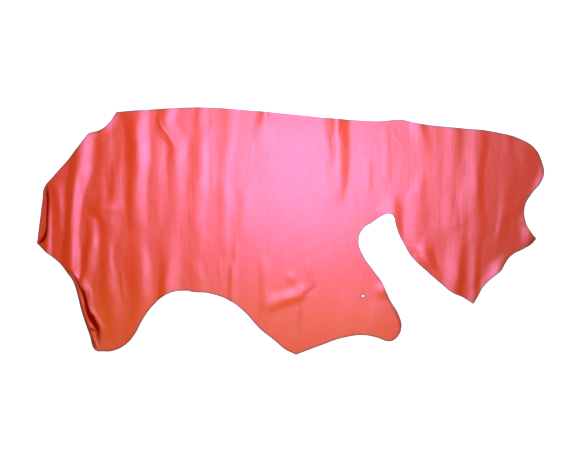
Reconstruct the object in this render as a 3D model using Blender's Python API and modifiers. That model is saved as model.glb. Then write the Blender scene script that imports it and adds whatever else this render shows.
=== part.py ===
"""Half a cattle hide, tanned and finished, laid out flat with its grain side up.

Metres, with +Z up. The back edge of the hide faces +Y, its neck is at +X and its butt at -X. The origin is the
middle of the hide's box, on the surface that the hide lies on. The tables give millimetres.
"""

from collections import namedtuple

import bpy
import numpy as np
from mathutils import Vector
from mathutils.geometry import delaunay_2d_cdt, interpolate_bezier

MM = 0.001

# The leather's thickness, and the one small hole in the fore shank.
THICKNESS = 1.4
HOLE_X = 326
HOLE_Y = -292
HOLE_RADIUS = 5
HOLE_CORNERS = 8

# The finish: a red pearl on the grain.
LEATHER_COLOUR = (0.62, 0.055, 0.026, 1.0)
LEATHER_ROUGHNESS = 0.42
LEATHER_METALLIC = 0.25

# How close together the points of the sheet lie.
EDGE_PITCH = 18
CLEAR_OF_EDGE = 0.45

Key = namedtuple("Key", "x y turn")
Fold = namedtuple("Fold", "name runs foot sections")
Section = namedtuple("Section", "along crest height before after")
Zone = namedtuple("Zone", "name left right low high across along")

# The outline, clockwise from the rump's corner. The line runs smoothly through a key, or turns sharply at it.
SMOOTH = "AUTO"
SHARP = "VECTOR"
OUTLINE = (
    # back
    Key(-783, 536, SHARP),
    Key(-632, 547, SMOOTH),
    Key(-407, 557, SMOOTH),
    Key(-182, 543, SMOOTH),
    Key(43, 522, SMOOTH),
    Key(164, 509, SMOOTH),
    Key(313, 498, SMOOTH),
    Key(400, 495, SMOOTH),
    Key(500, 501, SMOOTH),
    Key(556, 489, SMOOTH),
    Key(606, 480, SMOOTH),
    Key(740, 466, SMOOTH),
    Key(921, 446, SMOOTH),
    # neck
    Key(1044, 410, SMOOTH),
    Key(1105, 366, SMOOTH),
    Key(1134, 303, SMOOTH),
    Key(1141, 266, SMOOTH),
    Key(1126, 218, SMOOTH),
    Key(1085, 167, SMOOTH),
    Key(1055, 111, SMOOTH),
    Key(1058, 41, SMOOTH),
    Key(1081, -4, SMOOTH),
    # cheek
    Key(1105, -34, SHARP),
    Key(1084, -58, SMOOTH),
    Key(1056, -77, SMOOTH),
    Key(991, -113, SMOOTH),
    Key(944, -181, SHARP),
    Key(875, -242, SMOOTH),
    Key(840, -298, SMOOTH),
    # shoulder flap
    Key(823, -329, SHARP),
    Key(775, -299, SMOOTH),
    Key(718, -272, SMOOTH),
    Key(689, -248, SMOOTH),
    Key(613, -182, SMOOTH),
    Key(541, -112, SMOOTH),
    Key(514, -66, SMOOTH),
    Key(482, -2, SMOOTH),
    # notch behind the fore leg
    Key(471, 35, SMOOTH),
    Key(464, 64, SMOOTH),
    Key(449, 76, SMOOTH),
    Key(410, 66, SMOOTH),
    Key(364, 35, SMOOTH),
    Key(333, 16, SMOOTH),
    Key(307, -40, SMOOTH),
    Key(336, -125, SMOOTH),
    Key(362, -161, SMOOTH),
    # fore shank
    Key(414, -230, SHARP),
    Key(446, -305, SMOOTH),
    Key(489, -380, SMOOTH),
    Key(499, -436, SMOOTH),
    Key(472, -485, SMOOTH),
    Key(446, -496, SMOOTH),
    Key(390, -480, SMOOTH),
    Key(335, -469, SMOOTH),
    Key(246, -478, SMOOTH),
    Key(134, -516, SMOOTH),
    # belly
    Key(25, -557, SHARP),
    Key(-26, -532, SMOOTH),
    Key(-72, -493, SMOOTH),
    Key(-137, -441, SMOOTH),
    Key(-209, -363, SMOOTH),
    Key(-274, -314, SMOOTH),
    Key(-377, -279, SMOOTH),
    Key(-430, -276, SMOOTH),
    Key(-475, -269, SMOOTH),
    Key(-550, -282, SMOOTH),
    Key(-619, -337, SMOOTH),
    # hind shank
    Key(-662, -395, SMOOTH),
    Key(-701, -466, SMOOTH),
    Key(-741, -511, SMOOTH),
    Key(-802, -540, SMOOTH),
    Key(-841, -541, SMOOTH),
    Key(-877, -536, SMOOTH),
    Key(-904, -468, SMOOTH),
    Key(-938, -368, SMOOTH),
    Key(-964, -267, SMOOTH),
    Key(-981, -218, SMOOTH),
    Key(-1011, -177, SMOOTH),
    Key(-1045, -139, SMOOTH),
    Key(-1097, -98, SMOOTH),
    # butt
    Key(-1141, -56, SHARP),
    Key(-1122, 94, SMOOTH),
    Key(-1115, 150, SMOOTH),
    Key(-1109, 194, SMOOTH),
    Key(-1068, 246, SMOOTH),
    Key(-994, 330, SMOOTH),
    Key(-908, 441, SHARP),
    Key(-849, 459, SMOOTH),
    Key(-815, 489, SMOOTH),
)

# The folds. Each section of a fold gives where it lies along the fold, the place of the crest, its height, and how
# far the flanks reach before the crest and after it. A fold that runs down is measured along Y and its crest lies
# at an x. One that runs across is measured along X and its crest lies at a y. A soft fold runs out into the sheet
# on both sides. One that is tucked in meets it in a sharp crease. A fold whose last section has a height runs off
# the hide at that height.
SOFT = "soft on both sides"
SHARP_BEFORE = "tucked in before its crest"
FOLDS = (
    Fold("butt ripple", "down", SOFT, (
        (235, -1060, 0, 40, 40), (218, -1057, 1.6, 40, 45), (160, -1048, 3, 28, 34), (117, -1041, 2.5, 26, 25),
        (70, -1039, 1.8, 27, 24), (27, -1038, 1.4, 28, 22), (-20, -1037, 0, 28, 20),
    )),
    Fold("first ripple", "down", SOFT, (
        (430, -950, 11.3, 60, 86), (385, -953, 10.8, 48, 80), (331, -959, 10.2, 40, 82), (272, -963, 12, 36, 82),
        (218, -972, 11.3, 38, 66), (160, -979, 10, 32, 56), (106, -984, 9.2, 26, 51), (47, -989, 8.7, 26, 51),
        (-7, -989, 8.4, 32, 50), (-65, -988, 10, 44, 50), (-119, -989, 11.4, 48, 50), (-178, -988, 10.6, 42, 48),
        (-205, -985, 8.4, 38, 46), (-235, -980, 3.6, 34, 44), (-260, -974, 0, 34, 42),
    )),
    Fold("second ripple", "down", SOFT, (
        (443, -850, 1.8, 60, 55), (385, -839, 2.1, 36, 60), (331, -841, 1.4, 36, 55), (272, -852, 1.1, 38, 40),
        (218, -857, 1.4, 42, 34), (160, -850, 1, 34, 30), (125, -850, 0, 34, 30),
    )),
    Fold("thin ripple", "down", SOFT, (
        (330, -785, 0, 30, 36), (272, -785, 1.2, 30, 36), (218, -790, 1.8, 31, 40), (160, -790, 2.4, 36, 46),
        (117, -790, 2.8, 52, 50), (75, -788, 1, 52, 50), (40, -785, 0, 50, 50),
    )),
    Fold("inner ripple", "down", SOFT, (
        (70, -902, 0, 30, 48), (47, -899, 2, 30, 46), (-7, -895, 3.7, 33, 40), (-65, -896, 6, 40, 40),
        (-119, -908, 6.2, 34, 45), (-178, -914, 4.8, 29, 44), (-220, -932, 5, 24, 46), (-250, -935, 4.4, 20, 46),
        (-275, -934, 2.4, 16, 44), (-300, -928, 0.6, 16, 40), (-320, -924, 0, 16, 40),
    )),
    Fold("third ripple", "down", SOFT, (
        (130, -870, 0, 50, 100), (95, -860, 3.2, 50, 95), (47, -829, 4.5, 46, 78), (-7, -822, 2.8, 38, 68),
        (-65, -824, 2.4, 36, 40), (-119, -825, 2.6, 36, 38), (-178, -823, 3.6, 40, 44), (-245, -819, 4.6, 50, 54),
        (-313, -808, 3.7, 58, 60), (-380, -800, 2.8, 45, 60), (-450, -800, 1.3, 45, 60), (-520, -800, 0, 45, 60),
    )),
    Fold("rump ripple", "down", SOFT, (
        (545, -688, 5.2, 120, 62), (497, -691, 7, 80, 64), (443, -696, 8.5, 58, 68), (385, -690, 9.2, 56, 66),
        (331, -690, 8.7, 58, 68), (272, -693, 6, 50, 66), (160, -702, 4.6, 43, 58), (106, -702, 4.1, 43, 54),
        (47, -700, 3.3, 43, 60), (-7, -690, 1.9, 50, 60), (-65, -681, 2.4, 64, 50), (-119, -675, 4.2, 76, 54),
        (-178, -671, 6, 84, 56), (-245, -673, 6.6, 66, 58), (-313, -672, 5, 60, 60), (-380, -685, 3.2, 50, 50),
        (-450, -700, 1.6, 50, 50),
    )),
    Fold("rump's inner ripple", "down", SOFT, (
        (450, -596, 0, 55, 35), (385, -590, 0.4, 58, 35), (272, -596, 0.8, 58, 35), (160, -596, 0.5, 52, 32),
        (47, -594, 0.3, 45, 30), (-10, -594, 0, 45, 30),
    )),
    Fold("bent ripple", "down", SOFT, (
        (545, -556, 4, 52, 58), (497, -564, 4.7, 50, 52), (443, -549, 3.2, 66, 76), (385, -520, 3.5, 41, 54),
        (331, -518, 3.2, 47, 52), (272, -518, 2.1, 45, 54), (184, -514, 1.2, 45, 50), (47, -522, 0.7, 45, 50),
        (-7, -540, 1, 60, 60), (-65, -545, 1.7, 65, 66), (-119, -546, 3, 56, 66), (-178, -552, 5, 47, 66),
        (-245, -560, 8, 40, 70), (-290, -562, 8.8, 40, 72),
    )),
    Fold("croup ripple", "down", SOFT, (
        (550, -404, 1.6, 32, 42), (497, -408, 1.8, 34, 45), (443, -398, 1.7, 54, 54), (385, -402, 3, 66, 42),
        (331, -402, 3.4, 66, 45), (272, -402, 2.6, 62, 42), (218, -410, 3, 64, 54), (160, -412, 1.8, 60, 54),
        (47, -420, 1.5, 54, 50), (-65, -412, 0.8, 50, 50), (-119, -430, 0.7, 50, 45), (-178, -422, 1.4, 50, 40),
        (-245, -407, 1.4, 58, 45), (-290, -405, 1.6, 58, 45),
    )),
    Fold("loin ripple", "down", SOFT, (
        (550, -271, 2, 58, 58), (443, -274, 1.4, 54, 50), (385, -280, 1.3, 54, 45), (331, -288, 1.3, 44, 38),
        (272, -293, 0.8, 42, 36), (218, -296, 1.2, 46, 36), (160, -296, 1.9, 58, 38), (106, -294, 1.3, 54, 38),
        (47, -296, 0.9, 50, 36), (-65, -298, 0.7, 50, 36), (-130, -300, 0, 50, 36),
    )),
    Fold("loin's second ripple", "down", SOFT, (
        (230, -205, 0, 50, 50), (184, -202, 1, 50, 50), (94, -202, 1.2, 50, 54), (4, -212, 0.8, 48, 45),
        (-80, -214, 0, 48, 45),
    )),
    Fold("back ripple", "down", SOFT, (
        (530, -114, 3.4, 46, 70), (477, -124, 2.8, 52, 90), (431, -132, 1.7, 52, 100), (362, -115, 0.7, 50, 110),
        (272, -97, 0.6, 60, 110), (200, -97, 0, 60, 110),
    )),
    Fold("flank wrinkle", "down", SOFT, (
        (-130, -262, 0, 20, 30), (-176, -262, 1.6, 20, 30), (-270, -264, 1.8, 22, 30),
    )),
    Fold("belly ripple", "down", SOFT, (
        (-100, -112, 0, 42, 40), (-176, -112, 1.8, 42, 40), (-310, -112, 2.2, 42, 40), (-400, -120, 2, 42, 40),
        (-450, -128, 1.6, 42, 40),
    )),
    Fold("belly ridge", "across", SOFT, (
        (-140, -345, 0, 46, 60), (-105, -338, 1.8, 44, 80), (-70, -326, 3.5, 44, 58), (-34, -310, 4.3, 43, 46),
        (-2, -300, 4.3, 43, 44), (25, -293, 3.8, 42, 46), (50, -284, 3.4, 40, 60), (72, -275, 1, 36, 44),
        (95, -262, 0, 34, 38),
    )),
    Fold("saddle ripple", "down", SOFT, (
        (510, 212, 9.6, 76, 62), (454, 212, 9.2, 74, 62), (400, 216, 8.4, 62, 60), (364, 217, 7.2, 56, 60),
        (274, 218, 6, 84, 54), (207, 217, 4, 92, 50), (160, 210, 2.3, 100, 46), (120, 206, 0.8, 100, 46),
        (80, 200, 0, 100, 46),
    )),
    Fold("notch lip", "down", SOFT, (
        (200, 454, 0, 60, 42), (150, 459, 1.4, 66, 42), (92, 462, 4.4, 80, 48), (47, 468, 4.4, 60, 40),
        (0, 485, 2.6, 40, 26), (-40, 500, 0, 30, 24),
    )),
    Fold("withers ripple", "down", SOFT, (
        (485, 580, 3.2, 60, 36), (430, 588, 1.9, 60, 45), (385, 595, 1, 60, 50), (331, 595, 0.6, 60, 50),
        (272, 588, 0.6, 50, 40), (227, 587, 1.5, 46, 38), (160, 568, 2.4, 58, 54), (92, 571, 2.5, 66, 66),
        (27, 572, 2.9, 80, 66), (-20, 572, 3.1, 80, 66), (-70, 575, 2.8, 66, 50), (-110, 580, 0, 60, 50),
    )),
    Fold("flap ripple", "down", SOFT, (
        (-10, 605, 0, 40, 40), (-63, 605, 2.2, 36, 42), (-110, 606, 4.6, 60, 50), (-150, 615, 4.2, 62, 54),
        (-200, 645, 1.5, 45, 45), (-245, 662, 0.8, 45, 45),
    )),
    Fold("shoulder wrinkle", "down", SOFT, (
        (460, 742, 2.2, 55, 36), (400, 742, 1.6, 58, 38), (331, 734, 1.2, 50, 38), (272, 724, 1, 44, 36),
        (160, 715, 0.7, 44, 34), (70, 713, 0.7, 44, 34), (0, 730, 0.8, 50, 44), (-40, 745, 0, 60, 50),
    )),
    Fold("flap's main ripple", "down", SOFT, (
        (10, 766, 0, 60, 40), (-20, 764, 1, 60, 40), (-65, 762, 2, 72, 38), (-110, 757, 3.6, 76, 38),
        (-155, 752, 5.4, 80, 38), (-200, 752, 7.8, 78, 38), (-270, 740, 7.8, 66, 40),
    )),
    Fold("neck ripple", "down", SOFT, (
        (455, 850, 3.6, 72, 50), (385, 849, 3.6, 74, 50), (331, 844, 3.8, 74, 44), (272, 838, 3.8, 72, 40),
        (207, 836, 4.4, 80, 38), (117, 836, 3.8, 84, 44), (60, 840, 2.6, 76, 50), (27, 845, 2.2, 60, 50),
        (-20, 842, 2.1, 60, 44), (-60, 836, 1.2, 60, 40), (-90, 834, 0, 60, 40),
    )),
    Fold("flap tip ripple", "down", SOFT, (
        (-40, 834, 0, 34, 30), (-75, 834, 1.4, 36, 30), (-110, 833, 2.1, 36, 30), (-160, 831, 2.7, 34, 28),
        (-200, 829, 3.5, 33, 28), (-320, 825, 3.4, 31, 26),
    )),
    Fold("neck dome", "down", SOFT, (
        (440, 860, 0, 250, 280), (340, 850, 2, 250, 300), (200, 840, 3.8, 260, 320), (60, 830, 4.6, 260, 320),
        (-80, 830, 3.4, 250, 280), (-220, 830, 1.6, 220, 250), (-300, 830, 0, 200, 220),
    )),
    Fold("outer neck ripple", "down", SOFT, (
        (455, 975, 0.8, 40, 30), (387, 983, 1.5, 44, 32), (331, 985, 0.9, 50, 40), (272, 990, 1, 60, 70),
        (207, 978, 1.6, 50, 70), (150, 964, 1.5, 34, 50), (106, 957, 1.7, 30, 46), (47, 948, 2, 26, 44),
        (0, 940, 1.8, 24, 46), (-45, 932, 0.8, 40, 50), (-90, 928, 0, 40, 50),
    )),
    Fold("neck lip", "down", SOFT, (
        (430, 1075, 0, 60, 40), (390, 1088, 1.5, 60, 40), (340, 1120, 0, 60, 40), (290, 1146, 2, 45, 30),
        (250, 1146, 4.6, 46, 30), (215, 1132, 5, 46, 30), (180, 1110, 2.5, 42, 30), (150, 1100, 0, 42, 30),
    )),
    Fold("cheek ripple", "down", SOFT, (
        (100, 1060, 0, 40, 26), (60, 1062, 3, 44, 26), (20, 1074, 4, 58, 26), (-20, 1089, 5, 65, 26),
        (-50, 1092, 4, 60, 26),
    )),
    Fold("throat lip", "down", SOFT, (
        (-90, 985, 0, 50, 30), (-130, 958, 2.6, 60, 26), (-165, 946, 5.6, 76, 30), (-200, 938, 6.6, 84, 50),
        (-241, 900, 4.2, 60, 50), (-290, 855, 1.6, 45, 40), (-315, 835, 0, 45, 40),
    )),
    Fold("shank pleat", "down", SHARP_BEFORE, (
        (-185, -976, 0, 12, 40), (-211, -956, 1.4, 12, 40), (-243, -939, 2.2, 13, 42), (-270, -921, 3, 14, 40),
        (-310, -913, 3.2, 15, 36), (-346, -911, 3.6, 16, 36), (-378, -898, 3.9, 20, 40), (-400, -887, 3.7, 22, 42),
        (-423, -872, 3.2, 22, 44), (-445, -860, 2, 22, 46), (-490, -850, 1, 22, 40), (-540, -846, 0, 22, 40),
    )),
    Fold("shank edge roll", "down", SOFT, (
        (-243, -963, 0, 10, 10), (-280, -954, 1, 10, 15), (-313, -945, 1.1, 10, 17), (-360, -929, 1.1, 10, 20),
        (-385, -920, 1.5, 12, 22), (-405, -912, 2.2, 12, 22), (-430, -900, 2.2, 12, 20), (-455, -890, 0.9, 12, 14),
        (-490, -882, 1.2, 12, 14), (-530, -872, 1, 12, 14),
    )),
)

# The spacing of the sheet's points across and along the ripples. A later zone takes over an earlier one.
ZONES = (
    Zone("butt", -1150, -385, -560, 560, 14, 56),
    Zone("back", -370, 500, -560, 560, 22, 56),
    Zone("neck", 515, 1150, -560, 560, 16, 56),
    Zone("belly ridge", -160, 140, -380, -200, 22, 16),
    Zone("shank pleat", -985, -820, -545, -190, 7, 24),
)


def clear_scene():
    for thing in list(bpy.data.objects):
        bpy.data.objects.remove(thing, do_unlink=True)


def through(keys, values, at):
    """The smooth curve through the values at the keys, read at each of at, and level past its ends."""
    order = np.argsort(keys)
    keys = np.array(keys, float)[order]
    values = np.array(values, float)[order]
    slopes = np.gradient(values, keys)
    slopes[0] = slopes[-1] = 0.0
    at = np.clip(at, keys[0], keys[-1])
    left = np.clip(np.searchsorted(keys, at) - 1, 0, len(keys) - 2)
    step = keys[left + 1] - keys[left]
    share = (at - keys[left]) / step
    rest = 1 - share
    ends = values[left] * rest**2 * (1 + 2 * share) + values[left + 1] * share**2 * (1 + 2 * rest)
    return ends + step * share * rest * (slopes[left] * rest - slopes[left + 1] * share)


def fold_height(fold, x, y):
    """How far one fold lifts the sheet at each point: a soft ridge that is level along its crest and its feet."""
    along, across = (y, x) if fold.runs == "down" else (x, y)
    at, crest, height, before, after = zip(*(Section(*section) for section in fold.sections))
    off_crest = across - through(at, crest, along)
    reach = np.where(off_crest < 0, through(at, before, along), through(at, after, along))
    rounded = np.cos(np.pi / 2 * np.clip(off_crest / reach, -1, 1))
    tucked_in = (fold.foot == SHARP_BEFORE) & (off_crest < 0)
    return np.maximum(through(at, height, along), 0) * np.where(tucked_in, rounded, rounded**2)


def sheet_height(x, y):
    """The height of the hide's underside over the surface that it lies on."""
    return sum(fold_height(fold, x, y) for fold in FOLDS)


def bezier_outline(keys):
    """The outline as a closed 2D curve."""
    curve = bpy.data.curves.new("hide outline", "CURVE")
    curve.dimensions = "2D"
    spline = curve.splines.new("BEZIER")
    spline.bezier_points.add(len(keys) - 1)
    spline.use_cyclic_u = True
    for point, key in zip(spline.bezier_points, keys):
        point.co = (key.x, key.y, 0)
    for point, key in zip(spline.bezier_points, keys):
        point.handle_left_type = point.handle_right_type = key.turn
    return curve


def outline_points():
    """Points along the outline, EDGE_PITCH apart or less, with its box centred on the origin."""
    curve = bezier_outline(OUTLINE)
    knots = list(curve.splines[0].bezier_points)
    points = []
    for first, second in zip(knots, knots[1:] + knots[:1]):
        steps = max(2, round((second.co - first.co).length / EDGE_PITCH) + 1)
        stretch = interpolate_bezier(first.co, first.handle_right, second.handle_left, second.co, steps)
        points += [point.to_2d() for point in stretch[:-1]]
    bpy.data.curves.remove(curve)
    points = np.array(points)
    return points - (points.min(axis=0) + points.max(axis=0)) / 2


def hole_points():
    turns = np.arange(HOLE_CORNERS) * 2 * np.pi / HOLE_CORNERS
    return np.column_stack((HOLE_X + HOLE_RADIUS * np.cos(turns), HOLE_Y + HOLE_RADIUS * np.sin(turns)))


def in_zone(zone, points):
    x, y = points.T
    return (x > zone.left) & (x < zone.right) & (y > zone.low) & (y < zone.high)


def inner_points(edge):
    """The sheet's points inside its edge: a grid for each zone, clear of the edge and of later zones."""
    kept = []
    for number, zone in enumerate(ZONES):
        x = np.arange(zone.left, zone.right, zone.across)
        y = np.arange(zone.low, zone.high, zone.along)
        grid = np.stack(np.meshgrid(x, y), axis=-1).reshape(-1, 2).astype(float)
        for later in ZONES[number + 1 :]:
            grid = grid[~in_zone(later, grid)]
        to_edge = np.linalg.norm(grid[:, None] - edge[None], axis=2).min(axis=1)
        kept.append(grid[to_edge > CLEAR_OF_EDGE * max(zone.across, EDGE_PITCH)])
    return np.concatenate(kept)


def flat_sheet():
    """The points and triangles of the sheet, flat, inside the outline and around the hole."""
    outline = outline_points()
    hole = hole_points()
    edge = np.concatenate((outline, hole))
    loops = [(i, (i + 1) % len(outline)) for i in range(len(outline))]
    loops += [(len(outline) + i, len(outline) + (i + 1) % len(hole)) for i in range(len(hole))]
    points = np.concatenate((edge, inner_points(edge)))
    inside_loops = 1
    made = delaunay_2d_cdt([Vector(point) for point in points], loops, [], inside_loops, 1e-4)
    points = np.array([tuple(point) for point in made[0]])
    triangles = np.array(made[2])
    to_hole = np.linalg.norm(points[triangles].mean(axis=1) - (HOLE_X, HOLE_Y), axis=1)
    return points, triangles[to_hole > HOLE_RADIUS]


def leather():
    material = bpy.data.materials.new("red pearl leather")
    material.use_nodes = True
    shader = material.node_tree.nodes["Principled BSDF"]
    shader.inputs["Base Color"].default_value = LEATHER_COLOUR
    shader.inputs["Roughness"].default_value = LEATHER_ROUGHNESS
    shader.inputs["Metallic"].default_value = LEATHER_METALLIC
    material.diffuse_color = LEATHER_COLOUR
    return material


def make_hide(collection):
    """The sheet's underside, raised into its folds and given the leather's thickness upwards."""
    points, triangles = flat_sheet()
    x, y = points.T
    raised = np.column_stack((x, y, sheet_height(x, y))) * MM
    mesh = bpy.data.meshes.new("hide")
    mesh.from_pydata(raised.tolist(), [], triangles.tolist())
    mesh.materials.append(leather())
    mesh.shade_smooth()
    hide = bpy.data.objects.new("hide", mesh)
    collection.objects.link(hide)
    body = hide.modifiers.new("thickness", "SOLIDIFY")
    body.thickness = THICKNESS * MM
    body.offset = 1
    body.use_even_offset = True
    return hide


def main():
    clear_scene()
    collection = bpy.data.collections.new("leather hide")
    bpy.context.scene.collection.children.link(collection)
    make_hide(collection)


main()
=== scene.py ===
"""Half a cattle hide in red pearl leather, laid out flat with its grain side up, seen from straight above.

The named sizes and the tables of shapes are in millimetres. Everything else is in metres, with +Z up. The
back edge of the hide faces +Y and its neck is at +X. One operator lays the hide and one sets the stage.
"""

from collections import namedtuple

import bpy
import numpy as np
from bpy.props import FloatProperty, FloatVectorProperty, PointerProperty
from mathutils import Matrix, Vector
from mathutils.geometry import delaunay_2d_cdt, interpolate_bezier
from mathutils.kdtree import KDTree
from mathutils.noise import noise


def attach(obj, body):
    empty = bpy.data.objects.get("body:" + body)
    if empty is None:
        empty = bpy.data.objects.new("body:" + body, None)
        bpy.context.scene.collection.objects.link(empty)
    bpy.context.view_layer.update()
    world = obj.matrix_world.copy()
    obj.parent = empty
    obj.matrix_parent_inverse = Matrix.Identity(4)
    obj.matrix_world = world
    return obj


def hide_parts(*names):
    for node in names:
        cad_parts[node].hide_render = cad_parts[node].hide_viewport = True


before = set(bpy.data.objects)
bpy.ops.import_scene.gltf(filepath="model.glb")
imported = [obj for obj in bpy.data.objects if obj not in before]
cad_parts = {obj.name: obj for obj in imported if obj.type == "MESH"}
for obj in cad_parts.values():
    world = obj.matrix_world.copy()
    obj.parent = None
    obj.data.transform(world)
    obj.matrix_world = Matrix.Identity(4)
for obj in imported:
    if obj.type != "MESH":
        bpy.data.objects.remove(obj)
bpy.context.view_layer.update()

bl_info = {
    "name": "Leather hide",
    "version": (1, 0, 0),
    "blender": (4, 5, 0),
    "location": "3D View > Sidebar > Leather",
    "description": "Lays out half a cattle hide in pearl-finished leather and lights it",
    "category": "Object",
}

MM = 0.001

# The leather's thickness, and the one small hole in the fore shank, which is slightly pulled out to four
# corners.
THICKNESS = 1.4
HOLE_X = 326
HOLE_Y = -292
HOLE_RADIUS = 5
HOLE_PULL = 0.14
HOLE_CORNERS = 24

# How close together the points of the sheet lie, how far points inside keep clear of the edge as a share of
# their spacing, and how close two points may lie before they are one.
EDGE_PITCH = 7
CLEAR_OF_EDGE = 0.6
SAME_PLACE = 1e-4

# The distance from the cut edge is measured to points that lie this share of the edge's spacing apart.
EDGE_SHARE = 0.2

# The clouds of the dye and of the pearl, the slack patches and the drawn-out streaks of the grain. Where two
# sizes are given, they are the pattern's width across the ripples and its length along them.
DYE_CLOUDS = 90
PEARL_CLOUDS = (50, 80)
SLACK_PATCHES = 35
GRAIN_STREAKS = (14, 90)
STREAK_DEPTH = 0.38

# Where along X the grain turns to the neck's darker red, which is painted shade for the lamp's light falling
# off towards the neck, and where along Y it turns to the belly's more orange red. The pearl's tint is painted
# weaker towards the belly, as shade for the lamp's sheen falling off there, along a line that slants by this
# much for each step along X.
NECK_SHADE = (250, 1100)
BELLY_TONE = (-100, -450)
PEARL_PAINTED_SHADE = (-50, -300)
PEARL_PAINTED_SHADE_SLANT = 0.3

# The share of the pearl that is left along the belly, where its weaker sheen is painted shade, and in its
# thinner clouds.
BELLY_PEARL_SHADE_SHARE = 0.8
CLOUD_PEARL_SHARE = 0.94

# The grain is darkened at the cut edge, partly for the worn finish and partly as painted shade for the
# shadow along the edge, by the given share up to the first distance and not at all from the second.
WEAR_AND_SHADE_BAND = (3, 12)
WEAR_AND_SHADE_SHARE = 0.8

# The light of the room comes from low down all round, and fades out between these two upward parts of its
# direction, so none comes from the ceiling.
ROOM_LIGHT_FADES = (0.15, 0.5)

Key = namedtuple("Key", "x y turn")
Fold = namedtuple("Fold", "name runs foot sections")
Section = namedtuple("Section", "along crest height before after")
Nip = namedtuple("Nip", "name runs sections")
NipSection = namedtuple("NipSection", "along middle width depth shade")
Zone = namedtuple("Zone", "name left right low high across along")

# The outline, clockwise from the rump's corner. The line runs smoothly through a key, or turns sharply at it.
SMOOTH = "AUTO"
SHARP = "VECTOR"
OUTLINE = (
    # back
    Key(-783, 536, SHARP),
    Key(-632, 547, SMOOTH),
    Key(-407, 557, SMOOTH),
    Key(-182, 543, SMOOTH),
    Key(43, 522, SMOOTH),
    Key(164, 509, SMOOTH),
    Key(313, 498, SMOOTH),
    Key(400, 495, SMOOTH),
    Key(500, 501, SMOOTH),
    Key(556, 489, SMOOTH),
    Key(606, 480, SMOOTH),
    Key(740, 466, SMOOTH),
    Key(921, 446, SMOOTH),
    # neck
    Key(1044, 410, SMOOTH),
    Key(1105, 366, SMOOTH),
    Key(1134, 303, SMOOTH),
    Key(1141, 266, SMOOTH),
    Key(1126, 218, SMOOTH),
    Key(1085, 167, SMOOTH),
    Key(1055, 111, SMOOTH),
    Key(1058, 41, SMOOTH),
    Key(1081, -4, SMOOTH),
    # cheek
    Key(1105, -34, SHARP),
    Key(1084, -58, SMOOTH),
    Key(1056, -77, SMOOTH),
    Key(991, -113, SMOOTH),
    Key(944, -181, SHARP),
    Key(875, -242, SMOOTH),
    Key(840, -298, SMOOTH),
    # shoulder flap
    Key(823, -329, SHARP),
    Key(775, -299, SMOOTH),
    Key(718, -272, SMOOTH),
    Key(689, -248, SMOOTH),
    Key(613, -182, SMOOTH),
    Key(541, -112, SMOOTH),
    Key(514, -66, SMOOTH),
    Key(482, -2, SMOOTH),
    # notch behind the fore leg
    Key(471, 35, SMOOTH),
    Key(464, 64, SMOOTH),
    Key(449, 76, SMOOTH),
    Key(410, 66, SMOOTH),
    Key(364, 35, SMOOTH),
    Key(333, 16, SMOOTH),
    Key(307, -40, SMOOTH),
    Key(336, -125, SMOOTH),
    Key(362, -161, SMOOTH),
    # fore shank
    Key(414, -230, SHARP),
    Key(446, -305, SMOOTH),
    Key(489, -380, SMOOTH),
    Key(499, -436, SMOOTH),
    Key(472, -485, SMOOTH),
    Key(446, -496, SMOOTH),
    Key(390, -480, SMOOTH),
    Key(335, -469, SMOOTH),
    Key(246, -478, SMOOTH),
    Key(134, -516, SMOOTH),
    # belly
    Key(25, -557, SHARP),
    Key(-26, -532, SMOOTH),
    Key(-72, -493, SMOOTH),
    Key(-137, -441, SMOOTH),
    Key(-209, -363, SMOOTH),
    Key(-274, -314, SMOOTH),
    Key(-377, -279, SMOOTH),
    Key(-430, -276, SMOOTH),
    Key(-475, -269, SMOOTH),
    Key(-550, -282, SMOOTH),
    Key(-619, -337, SMOOTH),
    # hind shank
    Key(-662, -395, SMOOTH),
    Key(-701, -466, SMOOTH),
    Key(-741, -511, SMOOTH),
    Key(-802, -540, SMOOTH),
    Key(-841, -541, SMOOTH),
    Key(-877, -536, SMOOTH),
    Key(-904, -468, SMOOTH),
    Key(-938, -368, SMOOTH),
    Key(-964, -267, SMOOTH),
    Key(-981, -218, SMOOTH),
    Key(-1011, -177, SMOOTH),
    Key(-1045, -139, SMOOTH),
    Key(-1097, -98, SMOOTH),
    # butt
    Key(-1141, -56, SHARP),
    Key(-1122, 94, SMOOTH),
    Key(-1115, 150, SMOOTH),
    Key(-1109, 194, SMOOTH),
    Key(-1068, 246, SMOOTH),
    Key(-994, 330, SMOOTH),
    Key(-908, 441, SHARP),
    Key(-849, 459, SMOOTH),
    Key(-815, 489, SMOOTH),
)

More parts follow.
